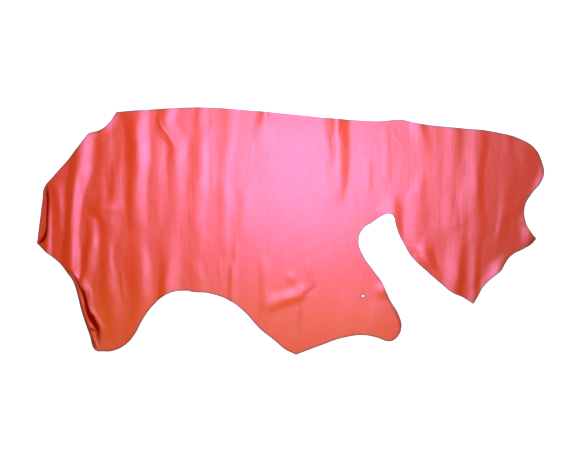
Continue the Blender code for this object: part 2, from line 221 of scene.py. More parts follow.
# The main folds, where the hide's solid has them. Each section of a fold gives where it lies along the fold,
# the place of the crest, its height, and how far the flanks reach before the crest and after it. A fold that
# runs down is measured along Y and its crest lies at an x. One that runs across is measured along X and its
# crest lies at a y. A soft fold runs out into the sheet on both sides. One that is tucked in meets it in a
# sharp crease.
SOFT = "soft on both sides"
SHARP_BEFORE = "tucked in before its crest"
FOLDS = (
    Fold("butt ripple", "down", SOFT, (
        (235, -1060, 0, 40, 40), (218, -1057, 1.6, 40, 45), (160, -1048, 3, 28, 34),
        (117, -1041, 2.5, 26, 25), (70, -1039, 1.8, 27, 24), (27, -1038, 1.4, 28, 22),
        (-20, -1037, 0, 28, 20),
    )),
    Fold("first ripple", "down", SOFT, (
        (430, -950, 11.3, 60, 86), (385, -953, 10.8, 48, 80), (331, -959, 10.2, 40, 82),
        (272, -963, 12, 36, 82), (218, -972, 11.3, 38, 66), (160, -979, 10, 32, 56),
        (106, -984, 9.2, 26, 51), (47, -989, 8.7, 26, 51), (-7, -989, 8.4, 32, 50), (-65, -988, 10, 44, 50),
        (-119, -989, 11.4, 48, 50), (-178, -988, 10.6, 42, 48), (-205, -985, 8.4, 38, 46),
        (-235, -980, 3.6, 34, 44), (-260, -974, 0, 34, 42),
    )),
    Fold("second ripple", "down", SOFT, (
        (443, -850, 1.8, 60, 55), (385, -839, 2.1, 36, 60), (331, -841, 1.4, 36, 55),
        (272, -852, 1.1, 38, 40), (218, -857, 1.4, 42, 34), (160, -850, 1, 34, 30), (125, -850, 0, 34, 30),
    )),
    Fold("thin ripple", "down", SOFT, (
        (330, -785, 0, 30, 36), (272, -785, 1.2, 30, 36), (218, -790, 1.8, 31, 40),
        (160, -790, 2.4, 36, 46), (117, -790, 2.8, 52, 50), (75, -788, 1, 52, 50), (40, -785, 0, 50, 50),
    )),
    Fold("inner ripple", "down", SOFT, (
        (70, -902, 0, 30, 48), (47, -899, 2, 30, 46), (-7, -895, 3.7, 33, 40), (-65, -896, 6, 40, 40),
        (-119, -908, 6.2, 34, 45), (-178, -914, 4.8, 29, 44), (-220, -932, 5, 24, 46),
        (-250, -935, 4.4, 20, 46), (-275, -934, 2.4, 16, 44), (-300, -928, 0.6, 16, 40),
        (-320, -924, 0, 16, 40),
    )),
    Fold("third ripple", "down", SOFT, (
        (130, -870, 0, 50, 100), (95, -860, 3.2, 50, 95), (47, -829, 4.5, 46, 78), (-7, -822, 2.8, 38, 68),
        (-65, -824, 2.4, 36, 40), (-119, -825, 2.6, 36, 38), (-178, -823, 3.6, 40, 44),
        (-245, -819, 4.6, 50, 54), (-313, -808, 3.7, 58, 60), (-380, -800, 2.8, 45, 60),
        (-450, -800, 1.3, 45, 60), (-520, -800, 0, 45, 60),
    )),
    Fold("rump ripple", "down", SOFT, (
        (545, -688, 5.2, 120, 62), (497, -691, 7, 80, 64), (443, -696, 8.5, 58, 68),
        (385, -690, 9.2, 56, 66), (331, -690, 8.7, 58, 68), (272, -693, 6, 50, 66),
        (160, -702, 4.6, 43, 58), (106, -702, 4.1, 43, 54), (47, -700, 3.3, 43, 60),
        (-7, -690, 1.9, 50, 60), (-65, -681, 2.4, 64, 50), (-119, -675, 4.2, 76, 54),
        (-178, -671, 6, 84, 56), (-245, -673, 6.6, 66, 58), (-313, -672, 5, 60, 60),
        (-380, -685, 3.2, 50, 50), (-450, -700, 1.6, 50, 50),
    )),
    Fold("rump's inner ripple", "down", SOFT, (
        (450, -596, 0, 55, 35), (385, -590, 0.4, 58, 35), (272, -596, 0.8, 58, 35),
        (160, -596, 0.5, 52, 32), (47, -594, 0.3, 45, 30), (-10, -594, 0, 45, 30),
    )),
    Fold("bent ripple", "down", SOFT, (
        (545, -556, 4, 52, 58), (497, -564, 4.7, 50, 52), (443, -549, 3.2, 66, 76),
        (385, -520, 3.5, 41, 54), (331, -518, 3.2, 47, 52), (272, -518, 2.1, 45, 54),
        (184, -514, 1.2, 45, 50), (47, -522, 0.7, 45, 50), (-7, -540, 1, 60, 60), (-65, -545, 1.7, 65, 66),
        (-119, -546, 3, 56, 66), (-178, -552, 5, 47, 66), (-245, -560, 8, 40, 70),
        (-290, -562, 8.8, 40, 72),
    )),
    Fold("croup ripple", "down", SOFT, (
        (550, -404, 1.6, 32, 42), (497, -408, 1.8, 34, 45), (443, -398, 1.7, 54, 54),
        (385, -402, 3, 66, 42), (331, -402, 3.4, 66, 45), (272, -402, 2.6, 62, 42), (218, -410, 3, 64, 54),
        (160, -412, 1.8, 60, 54), (47, -420, 1.5, 54, 50), (-65, -412, 0.8, 50, 50),
        (-119, -430, 0.7, 50, 45), (-178, -422, 1.4, 50, 40), (-245, -407, 1.4, 58, 45),
        (-290, -405, 1.6, 58, 45),
    )),
    Fold("loin ripple", "down", SOFT, (
        (550, -271, 2, 58, 58), (443, -274, 1.4, 54, 50), (385, -280, 1.3, 54, 45),
        (331, -288, 1.3, 44, 38), (272, -293, 0.8, 42, 36), (218, -296, 1.2, 46, 36),
        (160, -296, 1.9, 58, 38), (106, -294, 1.3, 54, 38), (47, -296, 0.9, 50, 36),
        (-65, -298, 0.7, 50, 36), (-130, -300, 0, 50, 36),
    )),
    Fold("loin's second ripple", "down", SOFT, (
        (230, -205, 0, 50, 50), (184, -202, 1, 50, 50), (94, -202, 1.2, 50, 54), (4, -212, 0.8, 48, 45),
        (-80, -214, 0, 48, 45),
    )),
    Fold("back ripple", "down", SOFT, (
        (530, -114, 3.4, 46, 70), (477, -124, 2.8, 52, 90), (431, -132, 1.7, 52, 100),
        (362, -115, 0.7, 50, 110), (272, -97, 0.6, 60, 110), (200, -97, 0, 60, 110),
    )),
    Fold("flank wrinkle", "down", SOFT, (
        (-130, -262, 0, 20, 30), (-176, -262, 1.6, 20, 30), (-270, -264, 1.8, 22, 30),
    )),
    Fold("belly ripple", "down", SOFT, (
        (-100, -112, 0, 42, 40), (-176, -112, 1.8, 42, 40), (-310, -112, 2.2, 42, 40),
        (-400, -120, 2, 42, 40), (-450, -128, 1.6, 42, 40),
    )),
    Fold("belly ridge", "across", SOFT, (
        (-140, -345, 0, 46, 60), (-105, -338, 1.8, 44, 80), (-70, -326, 3.5, 44, 58),
        (-34, -310, 4.3, 43, 46), (-2, -300, 4.3, 43, 44), (25, -293, 3.8, 42, 46), (50, -284, 3.4, 40, 60),
        (72, -275, 1, 36, 44), (95, -262, 0, 34, 38),
    )),
    Fold("saddle ripple", "down", SOFT, (
        (510, 212, 9.6, 76, 62), (454, 212, 9.2, 74, 62), (400, 216, 8.4, 62, 60), (364, 217, 7.2, 56, 60),
        (274, 218, 6, 84, 54), (207, 217, 4, 92, 50), (160, 210, 2.3, 100, 46), (120, 206, 0.8, 100, 46),
        (80, 200, 0, 100, 46),
    )),
    Fold("notch lip", "down", SOFT, (
        (200, 454, 0, 60, 42), (150, 459, 1.4, 66, 42), (92, 462, 4.4, 80, 48), (47, 468, 4.4, 60, 40),
        (0, 485, 2.6, 40, 26), (-40, 500, 0, 30, 24),
    )),
    Fold("withers ripple", "down", SOFT, (
        (485, 580, 3.2, 60, 36), (430, 588, 1.9, 60, 45), (385, 595, 1, 60, 50), (331, 595, 0.6, 60, 50),
        (272, 588, 0.6, 50, 40), (227, 587, 1.5, 46, 38), (160, 568, 2.4, 58, 54), (92, 571, 2.5, 66, 66),
        (27, 572, 2.9, 80, 66), (-20, 572, 3.1, 80, 66), (-70, 575, 2.8, 66, 50), (-110, 580, 0, 60, 50),
    )),
    Fold("flap ripple", "down", SOFT, (
        (-10, 605, 0, 40, 40), (-63, 605, 2.2, 36, 42), (-110, 606, 4.6, 60, 50), (-150, 615, 4.2, 62, 54),
        (-200, 645, 1.5, 45, 45), (-245, 662, 0.8, 45, 45),
    )),
    Fold("shoulder wrinkle", "down", SOFT, (
        (460, 742, 2.2, 55, 36), (400, 742, 1.6, 58, 38), (331, 734, 1.2, 50, 38), (272, 724, 1, 44, 36),
        (160, 715, 0.7, 44, 34), (70, 713, 0.7, 44, 34), (0, 730, 0.8, 50, 44), (-40, 745, 0, 60, 50),
    )),
    Fold("flap's main ripple", "down", SOFT, (
        (10, 766, 0, 60, 40), (-20, 764, 1, 60, 40), (-65, 762, 2, 72, 38), (-110, 757, 3.6, 76, 38),
        (-155, 752, 5.4, 80, 38), (-200, 752, 7.8, 78, 38), (-270, 740, 7.8, 66, 40),
    )),
    Fold("neck ripple", "down", SOFT, (
        (455, 850, 3.6, 72, 50), (385, 849, 3.6, 74, 50), (331, 844, 3.8, 74, 44), (272, 838, 3.8, 72, 40),
        (207, 836, 4.4, 80, 38), (117, 836, 3.8, 84, 44), (60, 840, 2.6, 76, 50), (27, 845, 2.2, 60, 50),
        (-20, 842, 2.1, 60, 44), (-60, 836, 1.2, 60, 40), (-90, 834, 0, 60, 40),
    )),
    Fold("flap tip ripple", "down", SOFT, (
        (-40, 834, 0, 34, 30), (-75, 834, 1.4, 36, 30), (-110, 833, 2.1, 36, 30), (-160, 831, 2.7, 34, 28),
        (-200, 829, 3.5, 33, 28), (-320, 825, 3.4, 31, 26),
    )),
    Fold("neck dome", "down", SOFT, (
        (440, 860, 0, 250, 280), (340, 850, 2, 250, 300), (200, 840, 3.8, 260, 320),
        (60, 830, 4.6, 260, 320), (-80, 830, 3.4, 250, 280), (-220, 830, 1.6, 220, 250),
        (-300, 830, 0, 200, 220),
    )),
    Fold("outer neck ripple", "down", SOFT, (
        (455, 975, 0.8, 40, 30), (387, 983, 1.5, 44, 32), (331, 985, 0.9, 50, 40), (272, 990, 1, 60, 70),
        (207, 978, 1.6, 50, 70), (150, 964, 1.5, 34, 50), (106, 957, 1.7, 30, 46), (47, 948, 2, 26, 44),
        (0, 940, 1.8, 24, 46), (-45, 932, 0.8, 40, 50), (-90, 928, 0, 40, 50),
    )),
    Fold("neck lip", "down", SOFT, (
        (430, 1075, 0, 60, 40), (390, 1088, 1.5, 60, 40), (340, 1120, 0, 60, 40), (290, 1146, 2, 45, 30),
        (250, 1146, 4.6, 46, 30), (215, 1132, 5, 46, 30), (180, 1110, 2.5, 42, 30), (150, 1100, 0, 42, 30),
    )),
    Fold("cheek ripple", "down", SOFT, (
        (100, 1060, 0, 40, 26), (60, 1062, 3, 44, 26), (20, 1074, 4, 58, 26), (-20, 1089, 5, 65, 26),
        (-50, 1092, 4, 60, 26),
    )),
    Fold("throat lip", "down", SOFT, (
        (-90, 985, 0, 50, 30), (-130, 958, 2.6, 60, 26), (-165, 946, 5.6, 76, 30), (-200, 938, 6.6, 84, 50),
        (-241, 900, 4.2, 60, 50), (-290, 855, 1.6, 45, 40), (-315, 835, 0, 45, 40),
    )),
    Fold("shank pleat", "down", SHARP_BEFORE, (
        (-185, -976, 0, 12, 40), (-211, -956, 1.4, 12, 40), (-243, -939, 2.2, 13, 42),
        (-270, -921, 3, 14, 40), (-310, -913, 3.2, 15, 36), (-346, -911, 3.6, 16, 36),
        (-378, -898, 3.9, 20, 40), (-400, -887, 3.7, 22, 42), (-423, -872, 3.2, 22, 44),
        (-445, -860, 2, 22, 46), (-490, -850, 1, 22, 40), (-540, -846, 0, 22, 40),
    )),
    Fold("shank edge roll", "down", SOFT, (
        (-243, -963, 0, 10, 10), (-280, -954, 1, 10, 15), (-313, -945, 1.1, 10, 17),
        (-360, -929, 1.1, 10, 20), (-385, -920, 1.5, 12, 22), (-405, -912, 2.2, 12, 22),
        (-430, -900, 2.2, 12, 20), (-455, -890, 0.9, 12, 14), (-490, -882, 1.2, 12, 14),
        (-530, -872, 1, 12, 14),
    )),
)

# The finer wrinkles, which only the sheet has. Their columns are those of the folds.
WRINKLES = (
    Fold("rump's corner curl", "down", SOFT, (
        (545, -826, 3.8, 40, 66), (500, -832, 3.8, 40, 66), (462, -846, 2.4, 40, 60),
        (430, -850, 0, 40, 60),
    )),
    Fold("dent's rim", "down", SOFT, (
        (165, -846, 0, 30, 60), (132, -846, 3, 40, 68), (112, -842, 3.8, 60, 70), (92, -830, 2, 60, 66),
        (72, -820, 0, 50, 60),
    )),
    Fold("croup swell", "down", SOFT, (
        (600, -690, 1.8, 300, 300), (150, -690, 1.8, 300, 300), (-60, -690, 0, 300, 300),
    )),
    Fold("nape swell", "down", SOFT, (
        (440, 1040, 0, 60, 90), (390, 1045, 1.6, 60, 90), (330, 1055, 1.8, 60, 90),
        (270, 1060, 0.8, 60, 90), (220, 1060, 0, 60, 90),
    )),
    Fold("back edge swell", "across", SOFT, (
        (-420, 425, 0, 120, 180), (-200, 425, 1.8, 120, 180), (120, 420, 1.9, 120, 180),
        (400, 405, 1.3, 120, 180), (560, 400, 0, 120, 180),
    )),
    Fold("saddle swell", "across", SOFT, (
        (-420, 140, 0, 330, 190), (-150, 140, 1.5, 330, 190), (0, 140, 0.8, 330, 190),
        (460, 130, 0.5, 330, 190), (650, 120, 0, 330, 190),
    )),
    Fold("fore shank swell", "across", SOFT, (
        (130, -500, 0, 60, 300), (260, -500, 1.6, 60, 300), (340, -500, 2.6, 60, 300),
        (500, -500, 2.8, 60, 300), (560, -500, 0, 60, 300),
    )),
    Fold("butt edge roll", "down", SOFT, (
        (200, -1104, 0, 8, 8), (175, -1103, 0.4, 8, 9), (47, -1106, 0.5, 10, 10), (-7, -1112, 0.8, 10, 10),
        (-40, -1126, 0.6, 10, 10), (-60, -1140, 0, 10, 10),
    )),
    Fold("butt edge ripple", "down", SOFT, (
        (125, -1090, 0, 8, 20), (100, -1091, 1.2, 8, 22), (70, -1092, 2.4, 8, 23), (27, -1093, 3, 9, 24),
        (-7, -1094, 3.5, 12, 25), (-70, -1096, 4.2, 30, 27), (-110, -1096, 4, 30, 27),
    )),
    Fold("thigh streak", "down", SOFT, (
        (-160, -758, 0, 14, 16), (-190, -758, 0.5, 14, 16), (-290, -752, 0.5, 14, 18),
        (-330, -748, 0, 14, 18),
    )),
    Fold("thigh's first streak", "down", SOFT, (
        (-30, -814, 0, 16, 18), (-80, -815, 0.5, 14, 18), (-150, -812, 0.6, 14, 18),
        (-200, -800, 0.3, 16, 22), (-240, -790, 0, 16, 22),
    )),
    Fold("rump streak", "down", SOFT, (
        (470, -818, 0, 18, 20), (420, -818, 0.3, 18, 20), (331, -818, 0.2, 18, 20),
        (240, -822, 0.4, 14, 18), (180, -822, 0, 14, 18),
    )),
    Fold("rump's second streak", "down", SOFT, (
        (430, -770, 0, 16, 18), (380, -768, 0.3, 16, 18), (250, -766, 0.3, 16, 18), (130, -768, 0, 16, 18),
    )),
    Fold("croup crease", "down", SOFT, (
        (540, -590, 0, 12, 14), (500, -592, 1, 12, 14), (462, -578, 1.2, 12, 16), (425, -548, 1.1, 12, 16),
        (390, -530, 0.5, 12, 16), (360, -524, 0, 12, 16),
    )),
    Fold("loin streak", "down", SOFT, (
        (545, -350, 0, 26, 18), (480, -352, 0.35, 26, 18), (350, -356, 0.35, 26, 20),
        (230, -352, 0.3, 26, 20), (130, -350, 0, 26, 20),
    )),
    Fold("flank streak", "down", SOFT, (
        (-100, -318, 0, 16, 14), (-150, -318, 0.4, 16, 14), (-230, -314, 0.3, 16, 14),
        (-280, -312, 0.2, 16, 14),
    )),
    Fold("flank's second streak", "down", SOFT, (
        (0, -245, 0, 20, 16), (-80, -245, 0.7, 20, 16), (-180, -248, 0.4, 20, 16), (-240, -250, 0, 20, 16),
    )),
    Fold("belly streak", "down", SOFT, (
        (-120, 78, 0, 14, 14), (-165, 78, 0.8, 14, 14), (-205, 84, 0.7, 12, 12), (-240, 92, 0, 12, 12),
    )),
    Fold("belly's lower streak", "down", SOFT, (
        (-320, 36, 0, 20, 12), (-370, 36, 0.8, 20, 12), (-440, 38, 0.9, 20, 12), (-520, 38, 0.7, 20, 12),
    )),
    Fold("shank streak", "down", SOFT, (
        (-250, 236, 0, 30, 90), (-300, 236, 0.4, 30, 90), (-370, 236, 1, 30, 90), (-440, 234, 1.2, 30, 90),
        (-490, 232, 1.2, 30, 90),
    )),
    Fold("shank's second streak", "down", SOFT, (
        (-300, 378, 0, 34, 90), (-345, 377, 0.8, 34, 90), (-400, 376, 1.1, 34, 90),
        (-450, 374, 0.4, 34, 90), (-480, 374, 0, 34, 90),
    )),
    Fold("saddle streak", "down", SOFT, (
        (350, 350, 0, 34, 30), (290, 351, 1, 34, 28), (200, 350, 0.7, 34, 28), (130, 348, 0, 34, 28),
    )),
    Fold("withers streak", "down", SOFT, (
        (500, 430, 0, 26, 26), (440, 430, 0.6, 30, 24), (350, 434, 0.7, 30, 24), (270, 436, 0.7, 30, 24),
        (200, 438, 0, 30, 24),
    )),
    Fold("withers crease", "down", SOFT, (
        (480, 452, 0, 10, 10), (455, 460, 0.25, 10, 10), (415, 480, 0.25, 10, 10), (385, 498, 0.2, 10, 10),
        (360, 508, 0, 10, 10),
    )),
    Fold("neck streak", "down", SOFT, (
        (130, 741, 0, 20, 22), (70, 745, 0.8, 22, 24), (27, 748, 1, 24, 24), (-20, 750, 0, 24, 24),
    )),
    Fold("rump's upper rim", "down", SOFT, (
        (462, -893, 0, 40, 34), (432, -893, 1.3, 40, 34), (400, -893, 0, 40, 34),
    )),
    Fold("first ripple's brow", "down", SOFT, (
        (330, -974, 0, 30, 32), (290, -974, 0.6, 30, 32), (230, -974, 1, 30, 32), (160, -978, 1, 30, 32),
        (100, -984, 0.5, 30, 32), (60, -986, 0, 30, 32),
    )),
    Fold("first ripple's inner rim", "down", SOFT, (
        (275, -925, 0, 24, 36), (235, -925, 1, 24, 36), (190, -932, 0.8, 24, 32), (160, -938, 0, 24, 30),
    )),
    Fold("first ripple's dent", "down", SOFT, (
        (60, -943, 0, 36, 40), (25, -943, 0.7, 36, 40), (-40, -943, 1, 36, 40), (-85, -943, 0, 36, 40),
    )),
    Fold("dent's hollow", "down", SOFT, (
        (185, -876, 0, 60, 120), (155, -874, 0.8, 60, 120), (110, -872, 2, 64, 120),
        (85, -872, 1.9, 64, 120), (55, -872, 0, 58, 110),
    )),
    Fold("back ripple's rim", "down", SOFT, (
        (545, -117, 1, 24, 30), (490, -120, 0.9, 24, 30), (450, -124, 0, 24, 30),
    )),
    Fold("saddle's narrow ridge", "down", SOFT, (
        (515, 208, 2.2, 28, 24), (470, 208, 2, 28, 24), (430, 204, 0.9, 28, 24), (390, 200, 0, 28, 24),
    )),
    Fold("saddle's foot", "down", SOFT, (
        (450, 178, 0, 44, 24), (410, 178, 0.9, 44, 24), (350, 178, 0.5, 44, 24), (310, 178, 0, 44, 24),
    )),
    Fold("neck ripple's foot", "down", SOFT, (
        (350, 767, 0, 60, 40), (290, 767, 0.7, 60, 40), (190, 767, 0.8, 60, 40), (50, 767, 0.6, 60, 40),
        (0, 767, 0, 60, 40),
    )),
    Fold("neck ripple's brow", "down", SOFT, (
        (340, 846, 0, 26, 90), (275, 845, 0.5, 26, 90), (185, 842, 0.4, 26, 90), (120, 842, 0, 26, 90),
    )),
    Fold("outer neck streak", "down", SOFT, (
        (150, 997, 0, 60, 60), (94, 997, 1.8, 60, 60), (50, 997, 0, 60, 60),
    )),
    Fold("cheek curl", "down", SOFT, (
        (30, 1080, 0, 50, 24), (5, 1082, 2.2, 60, 28), (-28, 1080, 2.7, 60, 30), (-50, 1068, 1.8, 50, 30),
        (-75, 1050, 0, 50, 30),
    )),
    Fold("flap's edge curl", "down", SOFT, (
        (-55, 575, 0, 50, 56), (-85, 587, 2.2, 50, 60), (-121, 603, 2.6, 50, 56), (-144, 622, 2.4, 50, 40),
        (-180, 650, 0, 50, 30),
    )),
    Fold("flap streak", "down", SOFT, (
        (45, 624, 0, 44, 70), (10, 626, 0.8, 44, 70), (-85, 628, 1.2, 44, 70), (-125, 630, 0, 44, 70),
    )),
    Fold("throat curl", "down", SOFT, (
        (-100, 985, 0, 60, 40), (-130, 975, 1.2, 60, 40), (-165, 963, 2.4, 62, 40),
        (-190, 945, 2.5, 62, 40), (-218, 912, 1.3, 60, 40), (-245, 880, 0.6, 50, 36),
        (-270, 850, 1, 40, 30), (-310, 838, 1, 34, 30),
    )),
    Fold("belly dimple", "across", SOFT, (
        (-30, -212, 0, 32, 40), (-10, -212, 1.2, 32, 40), (15, -212, 1, 32, 40), (35, -212, 0, 32, 40),
    )),
    Fold("shank's edge curl", "across", SOFT, (
        (370, -262, 0, 42, 44), (390, -264, 1.4, 46, 46), (408, -266, 3.2, 50, 46),
        (428, -268, 3.8, 50, 46), (460, -270, 3.8, 50, 46), (520, -270, 0, 50, 46),
    )),
    Fold("bent ripple's lead", "down", SOFT, (
        (450, -603, 0, 120, 50), (385, -603, 0.9, 120, 50), (272, -603, 0.8, 120, 50),
        (190, -603, 0, 120, 50),
    )),
    Fold("bent ripple's tail", "down", SOFT, (
        (450, -480, 0, 40, 30), (410, -480, 0.6, 40, 30), (350, -482, 0.5, 40, 30), (310, -482, 0, 40, 30),
    )),
    Fold("rump ripple's brow", "down", SOFT, (
        (230, -665, 0, 40, 30), (170, -665, 0.6, 40, 30), (30, -663, 0.6, 40, 30), (-30, -660, 0, 40, 30),
    )),
    Fold("hind shank swell", "across", SOFT, (
        (-905, -545, 0, 20, 60), (-878, -545, 3.2, 20, 66), (-845, -545, 2.6, 20, 64),
        (-790, -545, 1.1, 20, 70), (-730, -545, 0, 20, 70),
    )),
    Fold("shoulder swell", "down", SOFT, (
        (380, 640, 0, 80, 80), (320, 640, 0.8, 80, 80), (100, 640, 0.7, 80, 80), (40, 640, 0, 80, 80),
    )),
    Fold("shoulder streak", "down", SOFT, (
        (180, 720, 0, 40, 30), (150, 720, 0.5, 40, 30), (30, 722, 0.4, 40, 30), (-10, 722, 0, 40, 30),
    )),
    Fold("shoulder's second streak", "down", SOFT, (
        (100, 775, 0, 22, 34), (60, 775, 0.6, 22, 34), (5, 775, 0.6, 22, 34), (-30, 775, 0, 22, 34),
    )),
    Fold("withers ripple's brow", "down", SOFT, (
        (240, 592, 0, 30, 60), (190, 592, 0.5, 30, 60), (120, 590, 0.5, 30, 60), (80, 590, 0, 30, 60),
    )),
)

# The places where the leather is nipped into a narrow trough, and how much shade is painted on its grain
# there, for the shadow of the fold over it, of a dent or of the cut edge. Each section of a nip gives its
# place along the trough, the middle of the trough, how wide it is at half its depth, its depth and its
# painted shade, which counts up to 1.
NIPS = (
    Nip("butt edge", "down", (
        (215, -1094, 7, 0, 0.3), (184, -1094, 12, 0.2, 0.9), (140, -1092, 13, 0.3, 1.1),
        (84, -1093, 12, 0.3, 1.0), (27, -1095, 12, 0.3, 0.9), (0, -1098, 14, 0.4, 1.0),
        (-25, -1106, 17, 0.5, 1.3), (-48, -1120, 18, 0.5, 1.4), (-60, -1132, 12, 0, 0.8),
    )),
    Nip("shank pleat", "down", (
        (-165, -995, 5, 0, 0.4), (-185, -982, 8, 0.3, 0.7), (-211, -967, 8, 0.4, 0.9),
        (-243, -951, 10, 0.6, 1.0), (-270, -934, 14, 1, 1.2), (-310, -922, 14, 1, 1.3),
        (-346, -914, 15, 1, 1.4), (-364, -908, 17, 1, 1.5), (-382, -898, 25, 1.5, 1.6),
        (-400, -890, 26, 2, 1.6), (-423, -876, 23, 2, 1.5), (-445, -866, 20, 1, 1.0),
        (-480, -864, 18, 0.5, 0.6), (-515, -857, 14, 0, 0.2),
    )),
    Nip("pleat's second crease", "down", (
        (-250, -911, 6, 0, 0), (-270, -911, 6, 0.4, 0.3), (-300, -911, 6, 0.4, 0.3), (-320, -909, 6, 0, 0),
    )),
    Nip("shank nick", "across", (
        (-910, -434, 7, 0, 0.2), (-900, -440, 8, 0.4, 1.0), (-882, -447, 8, 0.4, 1.0),
        (-868, -450, 7, 0, 0.2),
    )),
    Nip("shank's dark rim", "down", (
        (-165, -1014, 8, 0, 0.2), (-185, -996, 9, 0, 0.6), (-211, -980, 10, 0, 0.7),
        (-243, -966, 9, 0, 0.7), (-288, -953, 9, 0, 0.8), (-333, -942, 9, 0, 0.8), (-364, -934, 9, 0, 0.8),
        (-400, -921, 9, 0, 0.8), (-436, -909, 9, 0, 0.9), (-468, -898, 9, 0, 0.9), (-504, -884, 9, 0, 0.9),
        (-528, -872, 9, 0, 0.6),
    )),
    Nip("back dimple", "down", (
        (545, -92, 14, 1, 0.1), (490, -91, 14, 0.9, 0.08), (440, -90, 14, 0, 0),
    )),
    Nip("belly crease", "down", (
        (-325, 40, 14, 0, 0), (-350, 42, 18, 0.5, 0.14), (-440, 40, 18, 0.5, 0.12), (-500, 36, 16, 0, 0),
    )),
    Nip("belly kink", "down", (
        (-150, 98, 10, 0, 0), (-190, 99, 12, 0.4, 0.07), (-225, 102, 12, 0.5, 0.1),
        (-243, 108, 15, 0.8, 0.22), (-262, 92, 22, 1, 0.3), (-285, 68, 22, 0.6, 0.18), (-298, 58, 14, 0, 0),
    )),
    Nip("fore shank's dark rim", "down", (
        (-258, 416, 7, 0, 0.2), (-275, 426, 9, 0, 0.45), (-310, 443, 9, 0, 0.4), (-356, 466, 9, 0, 0.5),
        (-400, 488, 10, 0, 0.6), (-445, 494, 10, 0, 0.5), (-470, 480, 10, 0, 0.2),
    )),
    Nip("cheek's dark rim", "across", (
        (1040, -84, 8, 0, 0), (1060, -72, 10, 0, 0.5), (1080, -57, 15, 0, 1.0), (1096, -42, 18, 0, 1.4),
        (1110, -30, 18, 0, 1.2),
    )),
    Nip("loin mark", "down", (
        (352, -112, 14, 0, 0), (328, -112, 24, 0.2, 0.1), (300, -112, 20, 0, 0),
    )),
)

# The slackness of the hide: how high its low hummocks and streaks are, and their size across and along the
# hide.
HUMMOCKS = (0.9, 150, 240)
STREAKS = (0.3, 26, 190)

# The spacing of the sheet's points across and along the ripples. A later zone takes over an earlier one.
ZONES = (
    Zone("butt", -1150, -385, -560, 560, 4.5, 9),
    Zone("back", -380, 500, -560, 560, 6, 10),
    Zone("neck", 505, 1150, -560, 560, 5, 9),
    Zone("shank pleat", -1000, -820, -545, -180, 2.5, 5),
    Zone("butt edge", -1145, -1060, -110, 215, 2.5, 6),
)


def linear(code):
    """A colour written as sRGB hex, as linear red, green, blue and alpha."""
    shares = [int(code[i : i + 2], 16) / 255 for i in (1, 3, 5)]
    return (*((s / 12.92 if s <= 0.04045 else ((s + 0.055) / 1.055) ** 2.4) for s in shares), 1.0)


class HideSettings(bpy.types.PropertyGroup):
    """What a maker would change about the leather."""

    grain_red: FloatVectorProperty(
        name="Grain red", description="Colour of the dyed grain under its pearl finish",
        subtype="COLOR", size=4, min=0, max=1, default=linear("#D83E06"),
    )
    grain_deep_red: FloatVectorProperty(
        name="Deep red", description="Colour of the grain where the dye has taken more strongly",
        subtype="COLOR", size=4, min=0, max=1, default=linear("#D03804"),
    )
    pearl: FloatVectorProperty(
        name="Pearl", description="Tint of the light that the pearl pigment throws back",
        subtype="COLOR", size=4, min=0, max=1, default=linear("#FF82FF"),
    )
    # Painted shade: this darker red towards the neck stands in for the lamp's light falling off there.
    neck_shaded_red: FloatVectorProperty(
        name="Neck red",
        description="Colour of the grain at the neck, where the skin is thicker and takes less dye",
        subtype="COLOR", size=4, min=0, max=1, default=linear("#BC3409"),
    )
    # Towards the belly the grain turns to this more orange red.
    belly_red: FloatVectorProperty(
        name="Belly red",
        description="Colour of the grain along the belly, where the skin is looser and paler",
        subtype="COLOR", size=4, min=0, max=1, default=linear("#D84E04"),
    )
    # Painted shade: this colour in a nip stands in for the shadow of the fold over it.
    nip_painted_shade_red: FloatVectorProperty(
        name="Nip red", description="Colour of the grain down in a nip, where the fold over it shades it",
        subtype="COLOR", size=4, min=0, max=1, default=linear("#820503"),
    )
    # Painted shade: this dimmer pearl tint in a nip stands in for the shadow of the fold over it.
    nip_painted_shade_pearl: FloatVectorProperty(
        name="Nip pearl", description="Tint of the little light that the pearl throws back out of a nip",
        subtype="COLOR", size=4, min=0, max=1, default=linear("#6C3059"),
    )
    # Partly wear and partly painted shade: at the cut edge this colour also stands in for the edge's shadow.
    worn_and_shaded_brown: FloatVectorProperty(
        name="Worn brown", description="Colour of the grain at the cut edge, where the finish is worn",
        subtype="COLOR", size=4, min=0, max=1, default=linear("#744A42"),
    )
    flesh_red: FloatVectorProperty(
        name="Flesh side", description="Colour of the suede on the underside",
        subtype="COLOR", size=4, min=0, max=1, default=linear("#B4543F"),
    )
    edge_red: FloatVectorProperty(
        name="Cut edge", description="Colour of the fibres at the cut edge",
        subtype="COLOR", size=4, min=0, max=1, default=linear("#7C2C22"),
    )
    grain_size: FloatProperty(
        name="Grain size", description="Width of the pebbles of the grain",
        subtype="DISTANCE", unit="LENGTH", default=3.2 * MM,
    )


